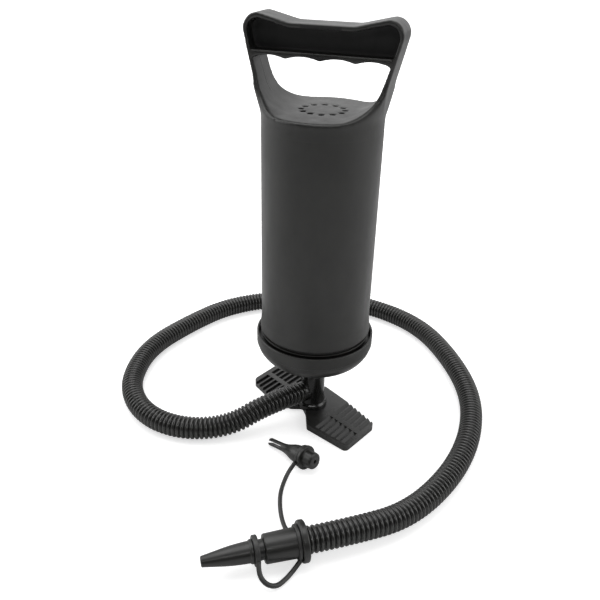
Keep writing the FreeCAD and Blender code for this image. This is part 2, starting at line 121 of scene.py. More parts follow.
# painted shade on the web between the two grip pockets, which is also made rougher
facing = addNode(tree, "ShaderNodeSeparateXYZ", {"Vector": parts["coords"].outputs["Normal"]})
inPocket = addNode(tree, "ShaderNodeMapRange", {
    "Value": aside.outputs[0], "From Min": barrelMarks["webMm"][0] * mm, "From Max": barrelMarks["webMm"][1] * mm,
    "To Min": 1.0, "To Max": 0.0})
sideways = addNode(tree, "ShaderNodeMath", {0: facing.outputs["Y"]}, operation="ABSOLUTE")
facesOut = addNode(tree, "ShaderNodeMath", {0: sideways.outputs[0], 1: barrelMarks["webFacing"]},
                   operation="GREATER_THAN")
aboveGap = addNode(tree, "ShaderNodeMath", {0: axes.outputs["Z"], 1: barrelMarks["webFromMm"] * mm},
                   operation="GREATER_THAN")
web = addNode(tree, "ShaderNodeMath", {0: inPocket.outputs["Result"], 1: facesOut.outputs[0]}, operation="MULTIPLY")
web = addNode(tree, "ShaderNodeMath", {0: web.outputs[0], 1: aboveGap.outputs[0]}, operation="MULTIPLY")
# painted shade on the upright walls of the vents, as on the web
upright = addNode(tree, "ShaderNodeMath", {0: facing.outputs["Z"]}, operation="ABSOLUTE")
onWall = addNode(tree, "ShaderNodeMath", {0: upright.outputs[0], 1: barrelMarks["throatFacing"]},
                 operation="LESS_THAN")
flat = addNode(tree, "ShaderNodeVectorMath", {0: parts["coords"].outputs["Object"], 1: (1.0, 1.0, 0.0)},
               operation="MULTIPLY")
fromAxis = addNode(tree, "ShaderNodeVectorMath", {0: flat.outputs[0]}, operation="LENGTH")
nearVents = addNode(tree, "ShaderNodeMath", {0: fromAxis.outputs["Value"], 1: barrelMarks["ventsMm"] * mm},
                    operation="LESS_THAN")
throat = addNode(tree, "ShaderNodeMath", {0: nearVents.outputs[0], 1: onWall.outputs[0]}, operation="MULTIPLY")
# painted shade: the web and the vent walls together, mixed below towards a near-black tone
paintedShade = addNode(tree, "ShaderNodeMath", {0: throat.outputs[0], 1: web.outputs[0]}, operation="MAXIMUM")
dull = addNode(tree, "ShaderNodeMath", {0: paintedShade.outputs[0], 1: barrelMarks["paintedShadeRough"]}, operation="MULTIPLY")
roughness = addNode(tree, "ShaderNodeMath", {0: parts["gloss"].outputs["Result"], 1: dull.outputs[0]},
                    operation="ADD")
tree.links.new(roughness.outputs[0], parts["skin"].inputs["Roughness"])
seam = addNode(tree, "ShaderNodeMath", {0: partingLine.outputs[0], 1: barrelMarks["lineMix"]}, operation="MULTIPLY")
seamed = addNode(tree, "ShaderNodeMix", {
    "Factor": seam.outputs[0], "A": parts["tone"].outputs[2], "B": linearColour(barrelMarks["lineTone"])},
    data_type="RGBA")
shade = addNode(tree, "ShaderNodeMix", {
    "Factor": paintedShade.outputs[0], "A": seamed.outputs[2], "B": linearColour(barrelMarks["paintedShadeTone"])},
    data_type="RGBA")
tree.links.new(shade.outputs[2], parts["skin"].inputs["Base Color"])

# Moulded polypropylene from a smoother mould: an even satin black with a finer grain than the barrel
capLook = dict(barrelLook, dark="#1c1c1b", light="#242422", rough=0.42, roughSpread=0.04, grainMm=1.2,
               grainDepthMm=0.006, rubMm=12.0, rubStretch=(1.0, 1.0, 1.0))
capPlastic = mouldedFinish("polishedPolypropylene", capLook)[0]

# Extruded polypropylene tube: fine lengthwise draw lines left by the sliding seal
stemLook = dict(capLook, dark="#131313", light="#191918", rough=0.17, roughSpread=0.06, rubMm=2.2,
                rubStretch=(1.0, 1.0, 0.04), grainMm=1.6)
stemPlastic = mouldedFinish("extrudedPolypropylene", stemLook)[0]

# Glass-filled polypropylene: harder satin skin, shoe scuffs on what stands highest, and a polished hub
footLook = dict(barrelLook, dark="#1b1b1a", light="#272726", worn="#3c3c3a", rough=0.32, roughSpread=0.08,
                rubMm=5.0, rubStretch=(1.0, 1.0, 1.0), grainMm=0.8, grainDepthMm=0.014, polishedMm=(12.1, 12.7),
                polishedTone="#181817", polishedRough=0.2)
footPlastic, tree, parts = mouldedFinish("glassFilledPolypropylene", footLook)
flat = addNode(tree, "ShaderNodeVectorMath", {0: parts["coords"].outputs["Object"], 1: (1.0, 1.0, 0.0)},
               operation="MULTIPLY")
fromAxis = addNode(tree, "ShaderNodeVectorMath", {0: flat.outputs[0]}, operation="LENGTH")
polished = addNode(tree, "ShaderNodeMapRange", {  # the hub comes from a polished part of the mould
    "Value": fromAxis.outputs["Value"], "From Min": footLook["polishedMm"][0] * mm,
    "From Max": footLook["polishedMm"][1] * mm, "To Min": 1.0, "To Max": 0.0})
hubTone = addNode(tree, "ShaderNodeMix", {
    "Factor": polished.outputs["Result"], "A": parts["tone"].outputs[2],
    "B": linearColour(footLook["polishedTone"])}, data_type="RGBA")
hubGloss = addNode(tree, "ShaderNodeMix", {
    "Factor": polished.outputs["Result"], "A": parts["gloss"].outputs["Result"], "B": footLook["polishedRough"]})
tree.links.new(hubTone.outputs[2], parts["skin"].inputs["Base Color"])
tree.links.new(hubGloss.outputs[0], parts["skin"].inputs["Roughness"])

# Blow-moulded polyethylene: waxy gloss on the crests, duller in the valleys; a painted highlight lightens the
# crests and painted shade darkens the valleys
hoseLook = dict(barrelLook, dark="#121212", light="#1b1b1a", worn="#2c2c2b", edgeWear=0.0, rough=0.17,
                roughSpread=0.04, rubMm=16.0, rubStretch=(1.0, 1.0, 1.0), grainMm=1.4, grainDepthMm=0.01, ior=1.51,
                valleyPaintedShade="#060606", crestPaintedHighlight="#2a2a28", ribMix=0.85, valleyRough=0.22)
hosePlastic, tree, parts = mouldedFinish("blowMouldedPolyethylene", hoseLook)
crest = addNode(tree, "ShaderNodeAttribute", attribute_name="crest")
duller = addNode(tree, "ShaderNodeMapRange", {
    "Value": crest.outputs["Fac"], "From Min": 0.0, "From Max": 1.0, "To Min": hoseLook["valleyRough"],
    "To Max": 0.0})
roughness = addNode(tree, "ShaderNodeMath", {0: parts["gloss"].outputs["Result"], 1: duller.outputs["Result"]},
                    operation="ADD")
tree.links.new(roughness.outputs[0], parts["skin"].inputs["Roughness"])
# painted highlight on the crests and painted shade in the valleys, mixed into the tone
ribHighlightAndShade = addNode(tree, "ShaderNodeMix", {
    "Factor": crest.outputs["Fac"], "A": linearColour(hoseLook["valleyPaintedShade"]),
    "B": linearColour(hoseLook["crestPaintedHighlight"])}, data_type="RGBA")
hoseTone = addNode(tree, "ShaderNodeMix", {
    "Factor": hoseLook["ribMix"], "A": parts["tone"].outputs[2], "B": ribHighlightAndShade.outputs[2]}, data_type="RGBA")
tree.links.new(hoseTone.outputs[2], parts["skin"].inputs["Base Color"])

# Injection-moulded polyethylene: soft sheen, faint flow marks
nozzleLook = dict(barrelLook, dark="#171716", light="#1f1f1d", rough=0.34, roughSpread=0.05, rubMm=6.0,
                  rubStretch=(1.0, 1.0, 1.0), grainMm=1.1, grainDepthMm=0.012)
nozzlePlastic = mouldedFinish("mouldedPolyethylene", nozzleLook)[0]

# Soft moulded vinyl: dull, a little paler, with a dry bloom
tetherLook = dict(barrelLook, dark="#1c1c1b", light="#262625", worn="#393938", rough=0.46, roughSpread=0.06,
                  rubMm=4.0, rubStretch=(1.0, 1.0, 1.0), grainMm=0.8, grainDepthMm=0.01, ior=1.53)
tetherVinyl = mouldedFinish("softMouldedVinyl", tetherLook)[0]

# Nitrile rubber: matt black, greased in patches
sealLook = dict(barrelLook, dark="#141414", light="#1c1c1c", rough=0.55, roughSpread=0.18, rubMm=5.0,
                rubStretch=(1.0, 1.0, 1.0), grainMm=0.7, grainDepthMm=0.01, ior=1.52)
sealRubber = mouldedFinish("greasedNitrileRubber", sealLook)[0]

# Moulded acetal: black, smooth and hard, with a faint waxy sheen
innerLook = dict(barrelLook, dark="#191919", light="#212121", worn="#303030", rough=0.38, roughSpread=0.05,
                 rubMm=7.0, rubStretch=(1.0, 1.0, 1.0), grainMm=1.2, grainDepthMm=0.01, ior=1.48)
innerAcetal = mouldedFinish("mouldedAcetal", innerLook)[0]

# Turned zinc-plated steel: pale metal with fine rings from the lathe
screwSteel = bpy.data.materials.new("turnedZincPlatedSteel")
screwSteel.use_nodes = True
tree = screwSteel.node_tree
tree.nodes.clear()
coords = addNode(tree, "ShaderNodeTexCoord")
rings = addNode(tree, "ShaderNodeTexWave", {
    "Vector": coords.outputs["Object"], "Scale": 320.0, "Distortion": 0.6, "Detail": 2.0},
    wave_type="RINGS", rings_direction="Z")
steelTone = addNode(tree, "ShaderNodeMix", {
    "Factor": rings.outputs["Fac"], "A": linearColour("#bdbdbf"), "B": linearColour("#cfcfd1")}, data_type="RGBA")
steelRough = addNode(tree, "ShaderNodeMapRange", {"Value": rings.outputs["Fac"], "To Min": 0.24, "To Max": 0.36})
steelBump = addNode(tree, "ShaderNodeBump", {"Height": rings.outputs["Fac"], "Distance": 0.01 * mm})
steelSkin = addNode(tree, "ShaderNodeBsdfPrincipled", {
    "Base Color": steelTone.outputs[2], "Metallic": 1.0, "Roughness": steelRough.outputs["Result"],
    "Normal": steelBump.outputs["Normal"]})
addNode(tree, "ShaderNodeOutputMaterial", {"Surface": steelSkin.outputs["BSDF"]})
print("finishes made")


def addPiece(name, mesh, material, body, stands=()):
    piece = bpy.data.objects.new(name, mesh)
    bpy.context.scene.collection.objects.link(piece)
    mesh.materials.clear()
    mesh.materials.append(material)
    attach(piece, body)
    if stands:
        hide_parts(*stands)
    return piece


def meshFrom(bm, name, sharpAngle=35.0):
    mesh = bpy.data.meshes.new(name)
    bm.to_mesh(mesh)
    bm.free()
    mesh.shade_smooth()
    mesh.set_sharp_from_angle(angle=math.radians(sharpAngle))
    return mesh


def settle(piece):
    # keeps what the modifiers make and drops the modifiers
    bpy.context.view_layer.update()
    made = bpy.data.meshes.new_from_object(piece.evaluated_get(bpy.context.evaluated_depsgraph_get()))
    piece.modifiers.clear()
    piece.data = made


def roundedFace(bm, corners, place, segments=5):
    # a flat face through corners (a, b, rounding) in mm, each corner rounded
    points = [bm.verts.new(place(a * mm, b * mm)) for a, b, rounding in corners]
    bm.faces.new(points)
    for point, (a, b, rounding) in zip(points, corners):
        if rounding > 0:
            bmesh.ops.bevel(bm, geom=[point], offset=rounding * mm, offset_type="OFFSET", affect="VERTICES",
                            segments=segments, profile=0.5, clamp_overlap=True, material=-1)


def turned(corners, steps=64, segments=5):
    # a closed outline (radius, height, rounding) in mm, spun about Z
    bm = bmesh.new()
    roundedFace(bm, corners, lambda a, b: (a, 0, b), segments)
    bmesh.ops.delete(bm, geom=bm.faces[:], context="FACES_ONLY")
    bmesh.ops.spin(bm, geom=bm.verts[:] + bm.edges[:], cent=(0, 0, 0), axis=(0, 0, 1), dvec=(0, 0, 0),
                   angle=math.tau, steps=steps, use_merge=True, use_duplicate=False)
    bmesh.ops.remove_doubles(bm, verts=bm.verts[:], dist=1e-6)
    bmesh.ops.dissolve_degenerate(bm, edges=bm.edges[:], dist=1e-7)
    bmesh.ops.recalc_face_normals(bm, faces=bm.faces[:])
    return bm


def layAlong(bm, placeMm, heading):
    # moves a shape turned about Z so that Z points along the heading
    turn = Vector((0, 0, 1)).rotation_difference(Vector(heading)).to_matrix().to_4x4()
    bmesh.ops.transform(bm, matrix=Matrix.Translation(Vector(placeMm) * mm) @ turn, verts=bm.verts[:])
    return bm


def heading(angle, dip=0.0):
    flat = math.cos(math.radians(dip))
    return Vector((flat * math.cos(math.radians(angle)), flat * math.sin(math.radians(angle)),
                   -math.sin(math.radians(dip))))


def cutWith(piece, tool):
    # takes a joined set of cutters, held in a bmesh, out of a piece
    mesh = bpy.data.meshes.new("cutter")
    tool.to_mesh(mesh)
    tool.free()
    cutter = bpy.data.objects.new("cutter", mesh)
    bpy.context.scene.collection.objects.link(cutter)
    boolean = piece.modifiers.new("cut", "BOOLEAN")
    boolean.operation = "DIFFERENCE"
    boolean.solver = "EXACT"
    boolean.object = cutter
    settle(piece)
    bpy.data.objects.remove(cutter)


# Camera at the photograph's height and side
view = {"place": (0.1185, -0.4133, 0.3372), "right": (0.949334, 0.313482, 0.02223),
        "up": (-0.170538, 0.454448, 0.874296), "forward": (-0.263973, 0.83379, -0.484884), "lens": 39.67}
cameraData = bpy.data.cameras.new("camera")
cameraData.lens = view["lens"]
cameraData.sensor_width = 36.0
cameraData.clip_start = 0.01
camera = bpy.data.objects.new("camera", cameraData)
bpy.context.scene.collection.objects.link(camera)
turn = Matrix((view["right"], view["up"], [-value for value in view["forward"]])).transposed().to_4x4()
camera.matrix_world = Matrix.Translation(view["place"]) @ turn
bpy.context.scene.camera = camera
print("camera placed")


def routeCurve(name, pointsMm):
    # one smooth line whose control points are the route's corners
    curve = bpy.data.curves.new(name, "CURVE")
    curve.dimensions = "3D"
    curve.resolution_u = 24
    spline = curve.splines.new("NURBS")
    spline.points.add(len(pointsMm) - 1)
    for point, place in zip(spline.points, pointsMm):
        point.co = (place[0] * mm, place[1] * mm, place[2] * mm, 1.0)
    spline.order_u = 3
    spline.use_endpoint_u = True
    return curve


# Hose: one corrugation, repeated along the route that lies on the floor
hose = {
    "route": [
        (-7.63, -9.26, 19.0), (-27.35, -33.18, 19.0), (-47.5, -54, 9.5), (-74.5, -68.5, 8.8), (-105, -68, 8.8),
        (-131.5, -53, 8.8), (-151, -25.5, 8.8), (-159.5, 21, 8.8), (-144.5, 70.5, 8.8), (-123, 115, 8.8),
        (-80, 148, 8.8), (-30, 166, 8.8), (22, 162, 8.8), (66, 140, 8.8), (98, 98, 8.8), (121, 50, 8.8),
        (127, 1, 8.8), (119, -49, 8.8), (97, -96, 8.8), (65.69, -125.24, 12.9), (40.67, -141.80, 12.9)],
    "pitchMm": 3.25, "sides": 22, "lengthM": 0.866, "rootMm": 6.95, "ribMm": 1.6,
    "profile": [(0.0, 6.95), (0.08, 7.05), (0.18, 7.95), (0.32, 8.4), (0.5, 8.55), (0.68, 8.4), (0.82, 7.95),
                (0.92, 7.05), (1.0, 6.95)]}
hoseLine = bpy.data.objects.new("hoseLine", routeCurve("hoseLine", hose["route"]))
bpy.context.scene.collection.objects.link(hoseLine)
bpy.context.view_layer.update()
lineMesh = bpy.data.meshes.new_from_object(hoseLine)
hosePath = [vertex.co.copy() for vertex in lineMesh.vertices]
pathLength = sum((b - a).length for a, b in zip(hosePath, hosePath[1:]))
ribCount = round(pathLength / (hose["pitchMm"] * mm))
ribPitch = pathLength / ribCount
bm = bmesh.new()
crestLayer = bm.verts.layers.float.new("crest")
last = None
for along, radius in hose["profile"]:
    point = bm.verts.new((along * ribPitch, 0, radius * mm))
    point[crestLayer] = (radius - hose["rootMm"]) / hose["ribMm"]  # 0 in a valley, 1 on a crest
    if last:
        bm.edges.new((last, point))
    last = point
bmesh.ops.spin(bm, geom=bm.verts[:] + bm.edges[:], cent=(0, 0, 0), axis=(1, 0, 0), dvec=(0, 0, 0),
               angle=math.tau, steps=hose["sides"], use_merge=True, use_duplicate=False)
bmesh.ops.recalc_face_normals(bm, faces=bm.faces[:])
if bm.faces[0].normal.dot(Vector((0, *bm.faces[0].calc_center_median()[1:]))) < 0:
    bmesh.ops.reverse_faces(bm, faces=bm.faces[:])
hosePiece = addPiece("ribbedHose", meshFrom(bm, "ribbedHose", 180), hosePlastic, "base", ["hose"])
repeat = hosePiece.modifiers.new("repeat", "ARRAY")
repeat.count = ribCount
repeat.use_relative_offset = False
repeat.use_constant_offset = True
repeat.constant_offset_displace = (ribPitch, 0, 0)
repeat.use_merge_vertices = True
repeat.merge_threshold = 1e-5
bend = hosePiece.modifiers.new("bend", "CURVE")
bend.object = hoseLine
bend.deform_axis = "POS_X"
settle(hosePiece)
print("hose", ribCount, "ribs", round(pathLength, 4), "m", len(hosePiece.data.polygons), "faces")

# Tether straps: one from neck to sleeve, one out to the spare adaptor
straps = {
    "tether_strap_near": [
        (19.0, -166.7, 12.9), (20.7, -171.5, 9.4), (26.2, -174.0, 5.4), (31.8, -171.4, 2.6), (35.0, -164.6, 1.8),
        (37.9, -157.0, 2.8), (40.3, -152.0, 6.2)],
    "tether_strap_far": [
        (31.1, -138.1, 7.0), (26.3, -132.6, 3.2), (19.5, -125.0, 1.7), (12.9, -112.8, 1.7), (8.3, -99.1, 1.7),
        (7.4, -84.7, 2.6), (8.8, -77.9, 5.0), (11.0, -75.6, 8.6)],
    "radiusMm": 1.5, "lengthsM": {"tether_strap_near": 0.0417, "tether_strap_far": 0.071}}
for name in ("tether_strap_near", "tether_strap_far"):
    curve = routeCurve(name, straps[name])
    curve.bevel_depth = straps["radiusMm"] * mm
    curve.bevel_resolution = 5
    curve.use_fill_caps = True
    pieceName = "strapToNeck" if name.endswith("near") else "strapToAdaptor"
    addPiece(pieceName, curve, tetherVinyl, "base", [name])
print("straps laid")

# Socket, nozzle and the rings on them, all along one axis from the hose's end
hoseTip = {
    "place": (39.0, -142.9, 12.9), "heading": heading(213.5),
    "socket": [
        (4.2, -18, 0), (6.5, -17, 0.4), (6.5, -1.6, 0), (12.9, -1.6, 1.2), (12.9, 2.9, 1.4), (9.6, 2.9, 0.6),
        (9.35, 4.0, 0.5), (8.9, 25, 1.2), (6.4, 25, 0), (6.4, 6, 0), (4.2, 6, 0)],
    "nozzle": [
        (3.6, 7, 0), (6.2, 7, 0.5), (6.2, 18, 0), (5.3, 18, 0), (5.3, 20.2, 0), (6.2, 20.2, 0), (6.2, 31.6, 0),
        (7.4, 31.6, 0.5), (7.2, 33.2, 0.5), (6.5, 33.8, 0.2), (6.4, 42.0, 8.0), (3.2, 62.8, 0.7), (1.9, 62.8, 0.2),
        (1.9, 12, 0)],
    "neckRing": [(6.3, 28.2, 0), (9.3, 28.2, 0.7), (9.3, 31.4, 0.7), (6.3, 31.4, 0)],
    "sleeveRing": [(9.45, 3.0, 0), (10.9, 3.0, 0.4), (10.9, 5.2, 0.8), (9.45, 5.2, 0)],
    "steps": 72, "ringSteps": 64}


def onHoseTip(part, steps):
    return meshFrom(layAlong(turned(hoseTip[part], steps), hoseTip["place"], hoseTip["heading"]), part)


socketPiece = addPiece("socketSleeve", onHoseTip("socket", hoseTip["steps"]), nozzlePlastic, "base",
                       ["hose_socket"])
nozzlePiece = addPiece("nozzleCone", onHoseTip("nozzle", hoseTip["steps"]), nozzlePlastic, "base",
                       ["nozzle"])
neckRing = addPiece("neckRing", onHoseTip("neckRing", hoseTip["ringSteps"]), tetherVinyl, "base",
                    ["tether_neck_ring"])
sleeveRing = addPiece("sleeveRing", onHoseTip("sleeveRing", hoseTip["ringSteps"]), tetherVinyl, "base",
                      ["tether_sleeve_ring"])
print("nozzle and socket made")

# Spare adaptor: spigot, stop disc, bulb and a split tip, with its ring of the tether
adaptor = {
    "place": (16.6, -68.4, 9.05), "heading": heading(156.0, 10.2), "steps": 56,
    "profile": [
        (1.4, -9.0, 0), (6.0, -9.0, 1.6), (6.3, -1.2, 0.3), (8.8, -1.2, 0.6), (8.8, 1.2, 0.6), (6.3, 1.2, 0.3),
        (6.7, 9.0, 3.5), (3.1, 19.5, 4), (2.9, 30.0, 1), (2.9, 36.0, 0.8), (1.0, 36.0, 0)],
    "ring": [(6.45, 1.4, 0), (8.2, 1.4, 0.6), (8.2, 4.0, 0.6), (6.45, 4.0, 0)],
    "splitMm": (20.0, 1.9, 18.0), "splitAtMm": 32.0, "splitTurn": 95.8}
adaptorMesh = meshFrom(turned(adaptor["profile"], adaptor["steps"]), "adaptor")
adaptorPiece = addPiece("spareAdaptor", adaptorMesh, nozzlePlastic, "base", ["valve_adaptor"])
splitBm = bmesh.new()
bmesh.ops.create_cube(splitBm, size=1.0, matrix=Matrix.Rotation(math.radians(adaptor["splitTurn"]), 4, "Z")
                      @ Matrix.Translation((0, 0, adaptor["splitAtMm"] * mm))
                      @ Matrix.Diagonal((*[side * mm for side in adaptor["splitMm"]], 1)))
cutWith(adaptorPiece, splitBm)
bm = bmesh.new()
bm.from_mesh(adaptorPiece.data)
layAlong(bm, adaptor["place"], adaptor["heading"])
bm.to_mesh(adaptorPiece.data)
bm.free()
adaptorPiece.data.shade_smooth()
adaptorPiece.data.set_sharp_from_angle(angle=math.radians(35))
ringBm = layAlong(turned(adaptor["ring"], adaptor["steps"]), adaptor["place"], adaptor["heading"])
adaptorRing = addPiece("adaptorRing", meshFrom(ringBm, "adaptorRing"), tetherVinyl, "base",
                       ["tether_adaptor_ring"])
print("adaptor made")

bpy.data.objects.remove(hoseLine)

# Barrel: a plain turned tube that flares over a groove with a thin bead, down at the cap
barrel = {"radiusMm": 40.03, "boreMm": 37.6, "lowMm": 65.0, "highMm": 230.0, "footMm": 41.9, "footHighMm": 5.0,
          "neckMm": 38.8, "beadMm": 40.6, "beadAtMm": 75.3, "beadHighMm": 0.9, "edgeMm": 79.1, "flareMm": 41.2,
          "steps": 144}
footTop = barrel["lowMm"] + barrel["footHighMm"]
beadTop = barrel["beadAtMm"] + barrel["beadHighMm"]
barrelBm = turned([
    (barrel["boreMm"], barrel["lowMm"], 0), (barrel["footMm"], barrel["lowMm"], 0.3),
    (barrel["footMm"], footTop, 0.6), (barrel["neckMm"], footTop, 0.3),
    (barrel["neckMm"], barrel["beadAtMm"] - 0.3, 0.1),
    (barrel["beadMm"], barrel["beadAtMm"], 0.3), (barrel["beadMm"], beadTop, 0.3),
    (barrel["neckMm"], beadTop + 0.3, 0.1), (barrel["neckMm"], barrel["edgeMm"], 0.2),
    (barrel["flareMm"], barrel["edgeMm"], 0.4), (barrel["flareMm"] - 0.2, barrel["edgeMm"] + 2.0, 1.5),
    (barrel["radiusMm"], barrel["edgeMm"] + 8.0, 5.0), (barrel["radiusMm"], barrel["highMm"] - 2.5, 0),
    (barrel["radiusMm"] - 0.12, barrel["highMm"], 0), (barrel["boreMm"], barrel["highMm"], 0)], barrel["steps"])
addPiece("barrelTube", meshFrom(barrelBm, "barrelTube"), barrelPlastic, "barrel",
         ["barrel_with_handle"])

# Handle: the frame's own moulding above the tube, its corners rounded as the mould rounds them
handle = {"cutMm": 224.5, "voxelMm": 0.8, "smoothing": 6, "edgeSmoothing": 26, "saddleMm": (234.8, 262.0),
          "saddleOutMm": 16.0, "vents": 12, "ventMm": 1.9, "ventCircleMm": 14.2, "ventTurn": 11.5,
          "ventAtMm": 237.0, "ventDeepMm": 9.0}
bm = bmesh.new()
bm.from_mesh(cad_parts["barrel_with_handle"].data)
bmesh.ops.remove_doubles(bm, verts=bm.verts[:], dist=1e-6)
bmesh.ops.bisect_plane(bm, geom=bm.verts[:] + bm.edges[:] + bm.faces[:], plane_co=(0, 0, handle["cutMm"] * mm),
                       plane_no=(0, 0, 1), clear_inner=True)
bmesh.ops.bridge_loops(bm, edges=[edge for edge in bm.edges if edge.is_boundary])
bmesh.ops.recalc_face_normals(bm, faces=bm.faces[:])
handlePiece = addPiece("handle", meshFrom(bm, "handle"), barrelPlastic, "barrel",
                       ["barrel_with_handle"])
remesh = handlePiece.modifiers.new("remesh", "REMESH")
remesh.mode = "VOXEL"
remesh.voxel_size = handle["voxelMm"] * mm
remesh.use_smooth_shade = True
ease = handlePiece.modifiers.new("ease", "SMOOTH")
ease.factor = 0.5
ease.iterations = handle["smoothing"]
settle(handlePiece)
saddleEdge = handlePiece.vertex_groups.new(name="saddleEdge")  # the dished top's rim is rounder than the rest
saddleLow, saddleHigh = handle["saddleMm"]
saddleEdge.add([vertex.index for vertex in handlePiece.data.vertices
                if saddleLow < vertex.co.z / mm < saddleHigh and abs(vertex.co.y) / mm > handle["saddleOutMm"]],
               1.0, "REPLACE")
ease = handlePiece.modifiers.new("easeSaddle", "SMOOTH")
ease.factor = 0.5
ease.iterations = handle["edgeSmoothing"]
ease.vertex_group = saddleEdge.name
settle(handlePiece)
ventTool = bmesh.new()
for i in range(handle["vents"]):
    spot = heading(handle["ventTurn"] + 360.0 * i / handle["vents"]) * handle["ventCircleMm"] * mm
    bmesh.ops.create_cone(ventTool, cap_ends=True, segments=28, radius1=handle["ventMm"] * mm,
                          radius2=handle["ventMm"] * mm, depth=handle["ventDeepMm"] * mm,
                          matrix=Matrix.Translation(spot + Vector((0, 0, handle["ventAtMm"] * mm))))
cutWith(handlePiece, ventTool)
handlePiece.data.shade_smooth()
handlePiece.data.set_sharp_from_angle(angle=math.radians(42))
print("handle", len(handlePiece.data.polygons), "faces")

# Lip bead: the thin raised line along the foot of each grip pocket
bead = {"halfMm": 44.0, "radiusMm": 0.6, "outMm": 12.6, "heightMm": 273.6}
bm = bmesh.new()
for side in (-1, 1):
    spot = Vector((0, side * bead["outMm"], bead["heightMm"])) * mm
    bmesh.ops.create_cone(bm, cap_ends=True, segments=12, radius1=bead["radiusMm"] * mm,
                          radius2=bead["radiusMm"] * mm, depth=2 * bead["halfMm"] * mm,
                          matrix=Matrix.Translation(spot) @ Matrix.Rotation(math.pi / 2, 4, "Y"))
addPiece("lipBead", meshFrom(bm, "lipBead"), barrelPlastic, "barrel", ["barrel_with_handle"])

# Bottom cap: a bowl with a stepped rim, and ten intake holes in a ring under it
cap = {
    "profile": [
        (12.5, 50.0, 0), (14.5, 50.0, 0), (14.5, 53.5, 0), (17.8, 53.5, 0), (17.8, 50.0, 0), (30.0, 50.6, 1.0),
        (31.0, 51.8, 0.6), (37.6, 54.4, 5.0), (43.2, 63.0, 4.5), (43.2, 65.6, 0.2), (43.8, 66.0, 0.3),
        (43.8, 75.0, 0.6), (42.2, 75.0, 0.5), (42.2, 63.6, 0), (36.5, 63.6, 0), (31.5, 56.6, 0), (12.5, 56.6, 0)],
    "steps": 144, "holes": 10, "holeMm": 1.7, "circleMm": 21.25, "holeAtMm": 53.0, "holeDeepMm": 14.0}
capBm = turned(cap["profile"], cap["steps"], 8)
capPiece = addPiece("bottomCap", meshFrom(capBm, "bottomCap"), capPlastic, "barrel", ["bottom_cap"])
drill = bmesh.new()
for i in range(cap["holes"]):
    spot = heading(360.0 * i / cap["holes"]) * cap["circleMm"] * mm + Vector((0, 0, cap["holeAtMm"] * mm))
    bmesh.ops.create_cone(drill, cap_ends=True, segments=20, radius1=cap["holeMm"] * mm, radius2=cap["holeMm"] * mm,
                          depth=cap["holeDeepMm"] * mm, matrix=Matrix.Translation(spot))
cutWith(capPiece, drill)
print("cap made")

# Stem: the hollow tube that the barrel slides on
stem = {"radiusMm": 7.9, "boreMm": 5.6, "lowMm": 10.0, "highMm": 222.7, "steps": 96}
stemBm = turned([
    (stem["boreMm"], stem["lowMm"], 0), (stem["radiusMm"], stem["lowMm"], 0),
    (stem["radiusMm"], stem["highMm"], 0.3), (stem["boreMm"], stem["highMm"], 0)], stem["steps"])
addPiece("stem", meshFrom(stemBm, "stem"), stemPlastic, "base", ["stem_tube"])

# Foot plate: two offset wings, each with a spine between two columns of ramped treads
foot = {
    "thickMm": 5.0, "turn": -22.4, "treads": 6, "treadPitchMm": 5.0, "rampMm": 3.6, "deepMm": 2.4,
    "leanPerMm": 0.12, "softenMm": 0.3,
    "outline": [
        (4.0, -12.5, 1.0), (15.5, -24.9, 1.2), (53.6, -24.9, 3.5), (53.8, 11.3, 3.5), (24.3, 18.7, 2.0),
        (-5.0, 23.6, 1.0), (-7.5, 15.5, 1.0), (-19.5, 29.0, 1.2), (-56.2, 29.0, 4.5), (-56.2, -10.0, 4.5),
        (-24.0, -18.0, 2.0), (-10.0, -14.0, 1.0), (-3.0, -8.0, 2.0)],
    "columns": [  # side, near end of the first tread, then low and high ends of the front and back columns
        {"side": 1, "first": 22.0, "front": (-22.6, -4.2), "back": (0.2, 60.0)},
        {"side": -1, "first": 23.5, "front": (-25.8, -4.6), "back": (-0.2, 44.0)}]}
bm = bmesh.new()
roundedFace(bm, foot["outline"], lambda a, b: (a, b, 0), 8)
raised = bmesh.ops.extrude_face_region(bm, geom=bm.faces[:])
bmesh.ops.translate(bm, vec=(0, 0, foot["thickMm"] * mm),
                    verts=[item for item in raised["geom"] if isinstance(item, bmesh.types.BMVert)])
bmesh.ops.recalc_face_normals(bm, faces=bm.faces[:])
footPiece = addPiece("footPlate", meshFrom(bm, "footPlate"), footPlastic, "base", ["foot_plate"])
treadTool = bmesh.new()
for column in foot["columns"]:
    side = column["side"]
    frontLow, frontHigh = column["front"]
    backLow, backHigh = column["back"]
    for i in range(foot["treads"]):
        near = column["first"] + i * foot["treadPitchMm"]
        far = near + foot["rampMm"]
        lean = foot["leanPerMm"] * i * foot["treadPitchMm"]  # the wing's edge leans, and the treads end along it
        for low, high in ((frontLow, frontHigh - lean), (backLow - lean, backHigh)):
            # a wedge that slopes down away from the hub and ends in an upright wall
            corners = [(near, 0.0), (far, -foot["deepMm"]), (far, 1.0), (near, 1.0)]
            face = treadTool.faces.new([
                treadTool.verts.new(Vector((a * side, low * side, foot["thickMm"] + b)) * mm) for a, b in corners])
            raised = bmesh.ops.extrude_face_region(treadTool, geom=[face])
            for item in raised["geom"]:
                if isinstance(item, bmesh.types.BMVert):
                    item.co.y = high * side * mm
bmesh.ops.recalc_face_normals(treadTool, faces=treadTool.faces[:])
cutWith(footPiece, treadTool)
bm = bmesh.new()
bm.from_mesh(footPiece.data)
bmesh.ops.rotate(bm, cent=(0, 0, 0), matrix=Matrix.Rotation(math.radians(foot["turn"]), 3, "Z"), verts=bm.verts[:])
bm.to_mesh(footPiece.data)
bm.free()
soften = footPiece.modifiers.new("soften", "BEVEL")
soften.width = foot["softenMm"] * mm
soften.segments = 2
soften.limit_method = "ANGLE"
soften.angle_limit = math.radians(25)
footPiece.modifiers.new("level", "WEIGHTED_NORMAL")
settle(footPiece)
print("foot plate", len(footPiece.data.polygons), "faces")

